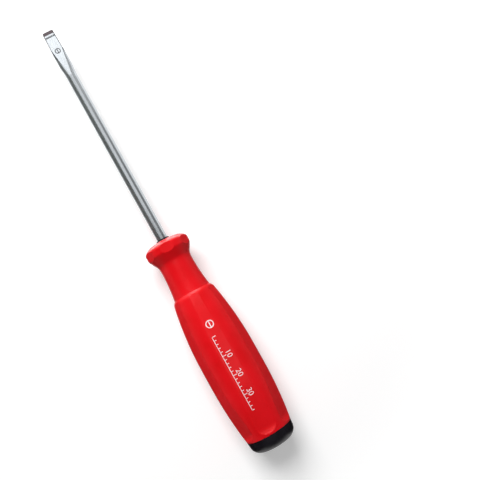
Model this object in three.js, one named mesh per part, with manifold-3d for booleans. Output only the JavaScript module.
// A flat-bladed screwdriver. A steel bar with a ground tip is held by its winged tang in a hard
// plastic core. A soft jacket with a collar, a neck and a barrel covers the core, and a hard
// rounded cap closes the rear. Millimetres, +Z up. The tip points along +X, and the tool lies on
// one flat of its barrel.
import * as THREE from "three";
import { mergeVertices } from "three/addons/utils/BufferGeometryUtils.js";
import Module from "manifold-3d";

// Blade, from the tip backwards
const BLADE_REACH = 120; // front of the handle to the tip
const TIP_WIDTH = 5.5;
const TIP_THICKNESS = 0.8;
const TIP_PARALLEL = 1.7; // length of the parallel ground faces
const TIP_FILLET_RADIUS = 6; // left by the grinding wheel behind the parallel faces
const TIP_STEP = 0.34; // rise of that fillet on each face
const WEDGE_LENGTH = 26.5; // tip to where the ground faces run out on the round shank
const FACE_PARALLEL = 10.5; // tip to where the ground faces start to narrow
const EDGE_ROUND = 0.15; // width of the rounded edge on each side of a ground face
const FLARE_WIDTH = 6.4; // forged flare behind the tip
const FLARE_START = 13; // tip to full flare
const FLARE_LENGTH = 6; // length of full flare
const FLARE_BLEND = 7; // length in which the flare falls to the shank
const SHANK_DIAMETER = 5.5;

// Tang, inside the handle
const TANG_LENGTH = 72; // front of the handle to the end of the bar
const TANG_CHAMFER = 0.8;
const TANG_BEHIND_WINGS = 12; // wings to the end of the bar
const WING_LENGTH = 12;
const WING_HEIGHT = 1.4; // above the round bar, on each side
const WING_THICKNESS = 2;
const WING_SLOPE = 1.5; // length of the slanted ends

// Jacket, from the front backwards
const FRONT_LAND = 1; // width of the flat ring round the core's nose
const CROWN_DIAMETER = 17; // outer edge of the conical crown
const CROWN_HEIGHT = 0.7;
const COLLAR_ROUND = 2.7; // length of the rounding from the crown to the rim
const COLLAR_DIAMETER = 22.7;
const COLLAR_FLAT_DEPTH = 0.5; // from the round rim in to the middle of a flat
const RIM_LENGTH = 2.7;
const RIM_EDGE = 0.7; // rounding behind the rim
const UNDERSIDE_LENGTH = 5.4; // slope from the rim to the neck
const NECK_FILLET = 2.2;
const NECK_DIAMETER = 16.8;
const NECK_REAR_DIAMETER = 19.2;
const NECK_LENGTH = 17.4;
const SHOULDER_CHAMFER = 1.3;
const SHOULDER_DIAMETER = 21.6;
const BARREL_LENGTH = 73.9;
const BELLY_DIAMETER = 28.4;
const BELLY_FLAT_DEPTH = 0.4; // from the round belly in to the middle of a flat
const BELLY_MIDDLE = 39; // front of the barrel to the middle of its belly
const BELLY_LENGTH = 10; // straight part
const REAR_DIAMETER = 23.8;
const FLAT_COUNT = 6; // on the collar and on the barrel
const FLAT_RUN_IN = 1.2; // length in which a barrel flat reaches its full width
const FLAT_RUN_OUT = 2.4;
const FLAT_REAR_MARGIN = 0.9; // round land between the flats and the cap

// Core
const JACKET_WALL = 2.4;
const NOSE_WALL = 0.3; // thin ring of the core that shows round the shank
const NOSE_PROUD = 0.8; // length of that ring in front of the jacket
const NOSE_LENGTH = 2.2; // and inside the jacket
const RIB_HEIGHT = 0.9;
const RIB_WIDTH = 2.4;
const RIB_FRONT_MARGIN = 7; // front of the barrel to the ribs
const RIB_REAR_MARGIN = 9;

// Cap
const CAP_LENGTH = 6.8;
const CAP_DRAFT = 0.3; // the side leans in by this much up to the corner
const CAP_CORNER = 4.6;
const SPIGOT_DIAMETER = 10;
const SPIGOT_LENGTH = 11;
const SPIGOT_CHAMFER = 1;
const KEY_HEIGHT = 2; // above the round spigot, on each side
const KEY_WIDTH = 3;
const KEY_LENGTH = 8;

// Fits and facets
const FIT_GAP = 0.3; // between neighbouring pieces
const OVERRUN = 2; // how far a cutter reaches past the face that it cuts
const ROUND_SEGMENTS = 28;
const ARC_SEGMENTS = 4; // of the jacket's section between two flats
const CURVE_STEPS = 5;
const LEAST_FLAT = THREE.MathUtils.degToRad(4); // half-angle of a facet where the jacket is round
const WELD = 1e-4;

const wasm = await Module();
wasm.setup();

// Distances from the axis, and depths behind the front of the handle
const shankRadius = SHANK_DIAMETER / 2;
const filletLength = Math.sqrt(TIP_FILLET_RADIUS ** 2 - (TIP_FILLET_RADIUS - TIP_STEP) ** 2);
const noseRadius = shankRadius + FIT_GAP + NOSE_WALL;
const collarRadius = COLLAR_DIAMETER / 2;
const collarToFlat = collarRadius - COLLAR_FLAT_DEPTH;
const neckRadius = NECK_DIAMETER / 2;
const neckRearRadius = NECK_REAR_DIAMETER / 2;
const shoulderRadius = SHOULDER_DIAMETER / 2;
const bellyRadius = BELLY_DIAMETER / 2;
const bellyToFlat = bellyRadius - BELLY_FLAT_DEPTH;
const rearRadius = REAR_DIAMETER / 2;
const crownEnd = NOSE_PROUD + CROWN_HEIGHT;
const rimStart = crownEnd + COLLAR_ROUND;
const rimEnd = rimStart + RIM_LENGTH;
const neckStart = rimEnd + UNDERSIDE_LENGTH;
const neckEnd = neckStart + NECK_LENGTH;
const barrelStart = neckEnd + SHOULDER_CHAMFER;
const barrelEnd = barrelStart + BARREL_LENGTH;
const bellyStart = barrelStart + BELLY_MIDDLE - BELLY_LENGTH / 2;
const bellyEnd = bellyStart + BELLY_LENGTH;
const flatEnd = barrelEnd - FLAT_REAR_MARGIN;
const handleLength = barrelEnd + FIT_GAP + CAP_LENGTH;

const point = (across, along) => new THREE.Vector2(across, along);

// A closed geometry as a solid that can be joined and cut.
function solidOf(geometry) {
  const bare = new THREE.BufferGeometry();
  bare.setAttribute("position", geometry.getAttribute("position"));
  bare.setIndex(geometry.index);
  const merged = mergeVertices(bare, WELD);
  const corners = merged.index.array;
  const triangles = [];
  for (let i = 0; i < corners.length; i += 3) {
    const [a, b, c] = corners.slice(i, i + 3);
    if (a !== b && b !== c && c !== a) triangles.push(a, b, c);
  }
  return new wasm.Manifold(
    new wasm.Mesh({
      numProp: 3,
      vertProperties: merged.attributes.position.array,
      triVerts: new Uint32Array(triangles),
    }),
  );
}

// A finished solid as a named mesh with its material.
function pieceOf(solid, name, finish) {
  const { vertProperties, triVerts } = solid.getMesh();
  const geometry = new THREE.BufferGeometry();
  geometry.setAttribute("position", new THREE.BufferAttribute(vertProperties, 3));
  geometry.setIndex(new THREE.BufferAttribute(triVerts, 1));
  geometry.computeVertexNormals();
  const mesh = new THREE.Mesh(geometry, new THREE.MeshStandardMaterial(finish));
  mesh.name = name;
  return mesh;
}

// A round solid about the tool's axis, +Y, from an outline that runs towards the tip.
function turned(outline) {
  return solidOf(new THREE.LatheGeometry(outline, ROUND_SEGMENTS));
}

// A plate through the tool's axis. Angle 0 lies across the blade's ground faces.
function plate(outline, thickness, angle) {
  const geometry = new THREE.ExtrudeGeometry(new THREE.Shape(outline), {
    depth: thickness,
    bevelEnabled: false,
  });
  geometry.translate(0, 0, -thickness / 2);
  geometry.rotateY(angle - Math.PI / 2);
  return solidOf(geometry);
}

// A solid through rings of points that follow each other from front to rear, closed at both ends.
function lofted(rings) {
  const ringSize = rings[0].length;
  const points = rings.flat();
  const frontCentre = points.length;
  const rearCentre = frontCentre + 1;
  const lastRing = frontCentre - ringSize;
  points.push(new THREE.Vector3(0, points[0].y, 0));
  points.push(new THREE.Vector3(0, points[lastRing].y, 0));
  const index = [];
  for (let i = 0; i < ringSize; i++) {
    const next = (i + 1) % ringSize;
    for (let ring = 0; ring < lastRing; ring += ringSize) {
      const behind = ring + ringSize;
      index.push(ring + i, behind + i, behind + next);
      index.push(ring + i, behind + next, ring + next);
    }
    index.push(frontCentre, i, next);
    index.push(rearCentre, lastRing + next, lastRing + i);
  }
  return solidOf(new THREE.BufferGeometry().setFromPoints(points).setIndex(index));
}

// An outline with its mirror image on the other side of the axis.
function bothSides(edge) {
  const mirrored = edge.map(({ x, y }) => point(-x, y));
  return [...edge, ...mirrored.reverse()];
}

// Evenly spaced values after the first one, up to and including the last.
function steps(first, last, count) {
  return Array.from({ length: count }, (_, i) => first + ((last - first) * (i + 1)) / count);
}

// Radius of the barrel at a depth: two parabolas that meet a straight belly.
function barrelRadius(depth) {
  const ahead = Math.max(bellyStart - depth, 0) / (bellyStart - barrelStart);
  const behind = Math.max(depth - bellyEnd, 0) / (barrelEnd - bellyEnd);
  const frontFall = (bellyRadius - shoulderRadius) * ahead ** 2;
  const rearFall = (bellyRadius - rearRadius) * behind ** 2;
  return bellyRadius - frontFall - rearFall;
}

// Half the angle that a flat takes up on the round jacket, at a depth where its radius is known.
function flatHalfAngle(depth, radius) {
  if (depth < neckStart) {
    return Math.acos(Math.min(Math.cos(LEAST_FLAT), collarToFlat / radius));
  }
  const runIn = THREE.MathUtils.smoothstep(depth, barrelStart, barrelStart + FLAT_RUN_IN);
  const runOut = THREE.MathUtils.smoothstep(depth, flatEnd - FLAT_RUN_OUT, flatEnd);
  const full = Math.acos(bellyToFlat / bellyRadius);
  return THREE.MathUtils.lerp(LEAST_FLAT, full, runIn * (1 - runOut));
}

// Half width of the bar at a distance from the tip: it spreads to the flare and falls to the shank.
function barHalfWidth(fromTip) {
  const spread = THREE.MathUtils.clamp(fromTip / FLARE_START, 0, 1);
  const flareEnd = FLARE_START + FLARE_LENGTH;
  const fall = THREE.MathUtils.smoothstep(fromTip, flareEnd, flareEnd + FLARE_BLEND);
  const flared = THREE.MathUtils.lerp(TIP_WIDTH, FLARE_WIDTH, spread) / 2;
  return THREE.MathUtils.lerp(flared, shankRadius, fall);
}

// Half thickness of the bar at a distance from the tip: parallel tip, fillet, wedge, round shank.
function barHalfThickness(fromTip) {
  const half = TIP_THICKNESS / 2;
  const intoFillet = THREE.MathUtils.clamp(fromTip - TIP_PARALLEL, 0, filletLength);
  const rise = TIP_FILLET_RADIUS - Math.sqrt(TIP_FILLET_RADIUS ** 2 - intoFillet ** 2);
  const wedgeStart = TIP_PARALLEL + filletLength;
  const wedge = THREE.MathUtils.clamp((fromTip - wedgeStart) / (WEDGE_LENGTH - wedgeStart), 0, 1);
  return THREE.MathUtils.lerp(half + rise, shankRadius, wedge);
}

// Half width of a ground face at a distance from the tip.
function faceHalfWidth(fromTip) {
  const narrowing = (fromTip - FACE_PARALLEL) / (WEDGE_LENGTH - FACE_PARALLEL);
  const full = barHalfWidth(Math.min(fromTip, FACE_PARALLEL)) - EDGE_ROUND;
  return full * (1 - THREE.MathUtils.clamp(narrowing, 0, 1));
}

// The bar's section: two ground faces, joined on each side by half an ellipse. A face of no width
// gives a circle.
function barSection(fromTip) {
  const face = faceHalfWidth(fromTip);
  const side = barHalfWidth(fromTip) - face;
  const thick = barHalfThickness(fromTip);
  const turns = [0, ...steps(0, Math.PI, ROUND_SEGMENTS / 2)];
  const right = turns.map((turn) => point(face + side * Math.sin(turn), thick * Math.cos(turn)));
  const left = right.map(({ x, y }) => point(-x, -y));
  return [...right, ...left];
}

// Winged tang, grown by a clearance so that it can also cut its seat in the core.
function tang(grow) {
  const wingFar = -TANG_LENGTH + TANG_BEHIND_WINGS - grow;
  const wingNear = wingFar + WING_LENGTH + 2 * grow;
  const reach = shankRadius + WING_HEIGHT + grow;
  const wings = bothSides([
    point(shankRadius, wingNear),
    point(reach, wingNear - WING_SLOPE),
    point(reach, wingFar + WING_SLOPE),
    point(shankRadius, wingFar),
  ]);
  const radius = shankRadius + grow;
  const end = -TANG_LENGTH - grow;
  const bar = turned([
    point(0, end),
    point(radius - TANG_CHAMFER, end),
    point(radius, end + TANG_CHAMFER),
    point(radius, OVERRUN),
    point(0, OVERRUN),
  ]);
  return bar.add(plate(wings, WING_THICKNESS + 2 * grow, Math.PI / 2));
}

// The bar in front of the handle, forged to a flare and ground to a wedge.
function forgedBar() {
  const flareEnd = FLARE_START + FLARE_LENGTH;
  const runOut = Math.max(WEDGE_LENGTH, flareEnd + FLARE_BLEND);
  const stations = [
    0,
    TIP_PARALLEL,
    ...steps(TIP_PARALLEL, TIP_PARALLEL + filletLength, CURVE_STEPS),
    FACE_PARALLEL,
    FLARE_START,
    ...steps(FLARE_START, runOut, 2 * CURVE_STEPS),
    BLADE_REACH,
  ].sort((a, b) => a - b);
  return lofted(
    stations.map((fromTip) =>
      barSection(fromTip).map(({ x, y }) => new THREE.Vector3(x, BLADE_REACH - fromTip, y)),
    ),
  );
}

function blade() {
  return forgedBar().add(tang(0));
}

// The core's outside, grown by a clearance so that it can also cut the jacket's hollow.
function coreBlank(grow, overrun) {
  const inner = (radius) => radius - JACKET_WALL + grow;
  const onBarrel = (depth) => point(inner(barrelRadius(depth)), -depth);
  const rear = -barrelEnd - overrun;
  const noseEnd = -NOSE_PROUD - NOSE_LENGTH + grow;
  const body = turned([
    point(0, rear),
    point(inner(rearRadius), rear),
    ...steps(barrelStart, barrelEnd, 2 * CURVE_STEPS).map(onBarrel).reverse(),
    point(inner(shoulderRadius), -barrelStart),
    point(inner(neckRearRadius), -neckEnd),
    point(inner(neckRadius), -neckStart),
    point(inner(neckRadius), noseEnd),
    point(noseRadius + grow, noseEnd),
    point(noseRadius + grow, overrun),
    point(0, overrun),
  ]);
  const ribStart = barrelStart + RIB_FRONT_MARGIN - grow;
  const ribEnd = barrelEnd - RIB_REAR_MARGIN + grow;
  const ribEdge = [ribStart, ...steps(ribStart, ribEnd, 2 * CURVE_STEPS)].map(onBarrel);
  const ribs = bothSides(ribEdge.map(({ x, y }) => point(x + RIB_HEIGHT, y)));
  let ribbed = body;
  for (let land = 0; land < FLAT_COUNT / 2; land++) {
    const angle = ((2 * land + 1) * Math.PI) / FLAT_COUNT;
    ribbed = ribbed.add(plate(ribs, RIB_WIDTH + 2 * grow, angle));
  }
  return ribbed;
}

// The cap's keyed spigot, grown by a clearance so that it can also cut its socket.
function spigot(grow, overrun) {
  const mouth = -barrelEnd - overrun;
  const end = -barrelEnd + SPIGOT_LENGTH + grow;
  const keyEnd = -barrelEnd + KEY_LENGTH + grow;
  const radius = SPIGOT_DIAMETER / 2 + grow;
  const round = turned([
    point(0, mouth),
    point(radius, mouth),
    point(radius, end - SPIGOT_CHAMFER),
    point(radius - SPIGOT_CHAMFER, end),
    point(0, end),
  ]);
  const key = bothSides([point(radius + KEY_HEIGHT, mouth), point(radius + KEY_HEIGHT, keyEnd)]);
  return round.add(plate(key, KEY_WIDTH + 2 * grow, Math.PI / 2));
}

function handleCore() {
  return coreBlank(0, 0).subtract(tang(FIT_GAP)).subtract(spigot(FIT_GAP, OVERRUN));
}

// The jacket's outline from its front to its rear, as radius and depth.
function jacketOutline() {
  const slope = (collarRadius - neckRadius) / UNDERSIDE_LENGTH;
  const filletStart = neckStart - NECK_FILLET / 2;
  const filletEnd = neckStart + NECK_FILLET;
  const outline = new THREE.Path();
  outline.moveTo(noseRadius + FIT_GAP + FRONT_LAND, NOSE_PROUD);
  outline.lineTo(CROWN_DIAMETER / 2, crownEnd);
  outline.quadraticCurveTo(collarRadius, (crownEnd + rimStart) / 2, collarRadius, rimStart);
  outline.lineTo(collarRadius, rimEnd - RIM_EDGE);
  outline.quadraticCurveTo(collarRadius, rimEnd, collarRadius - RIM_EDGE * slope, rimEnd + RIM_EDGE);
  outline.lineTo(neckRadius + (NECK_FILLET / 2) * slope, filletStart);
  outline.quadraticCurveTo(neckRadius, neckStart, neckRadius, filletEnd);
  outline.quadraticCurveTo(neckRadius, (filletEnd + neckEnd) / 2, neckRearRadius, neckEnd);
  outline.lineTo(shoulderRadius, barrelStart);
  const flatStart = barrelStart + FLAT_RUN_IN;
  const runOutStart = flatEnd - FLAT_RUN_OUT;
  const depths = [
    ...steps(barrelStart, flatStart, CURVE_STEPS),
    ...steps(flatStart, bellyStart, CURVE_STEPS),
    bellyEnd,
    ...steps(bellyEnd, runOutStart, CURVE_STEPS),
    ...steps(runOutStart, flatEnd, CURVE_STEPS),
    barrelEnd,
  ];
  const barrel = depths.map((depth) => point(barrelRadius(depth), depth));
  return [...outline.getPoints(CURVE_STEPS), ...barrel];
}

// Angles round the jacket's section: each flat's two edges, and points on the arc to the next flat.
function sectionAngles(half) {
  const sector = (2 * Math.PI) / FLAT_COUNT;
  const angles = [];
  for (let flat = 0; flat < FLAT_COUNT; flat++) {
    const middle = flat * sector;
    angles.push(middle - half, middle + half);
    angles.push(...steps(middle + half, middle + sector - half, ARC_SEGMENTS).slice(0, -1));
  }
  return angles;
}

// The jacket's outside: rings of points on circles, with a chord across every flat.
function jacketBlank() {
  return lofted(
    jacketOutline().map(({ x: radius, y: depth }) =>
      sectionAngles(flatHalfAngle(depth, radius)).map(
        (angle) => new THREE.Vector3(radius * Math.sin(angle), -depth, radius * Math.cos(angle)),
      ),
    ),
  );
}

function gripSleeve() {
  return jacketBlank().subtract(coreBlank(FIT_GAP, OVERRUN));
}

function endCap() {
  const front = -barrelEnd - FIT_GAP;
  const rear = front - CAP_LENGTH;
  const cornerCentre = rearRadius - CAP_DRAFT - CAP_CORNER;
  const outline = new THREE.Path();
  outline.moveTo(0, rear);
  outline.lineTo(cornerCentre, rear);
  outline.absarc(cornerCentre, rear + CAP_CORNER, CAP_CORNER, -Math.PI / 2, 0);
  outline.lineTo(rearRadius, front);
  outline.lineTo(0, front);
  const rounded = turned(outline.getPoints(CURVE_STEPS));
  return rounded.add(spigot(0, FIT_GAP + CAP_LENGTH / 2));
}

const STEEL = { color: 0xb4b8ba, metalness: 1, roughness: 0.28 };
const RED_ELASTOMER = { color: 0xd3171b, metalness: 0, roughness: 0.5 };
const BLACK_PLASTIC = { color: 0x17151b, metalness: 0, roughness: 0.42 };

// The pieces share the tool's own axis, +Y, with the front of the handle at zero.
const tool = new THREE.Group();
tool.add(
  pieceOf(blade(), "blade", STEEL),
  pieceOf(handleCore(), "handle_core", BLACK_PLASTIC),
  pieceOf(gripSleeve(), "grip_sleeve", RED_ELASTOMER),
  pieceOf(endCap(), "end_cap", BLACK_PLASTIC),
);
tool.rotation.z = -Math.PI / 2;
tool.position.set((handleLength - BLADE_REACH) / 2, 0, bellyToFlat);

const screwdriver = new THREE.Group();
screwdriver.add(tool);

export default screwdriver;
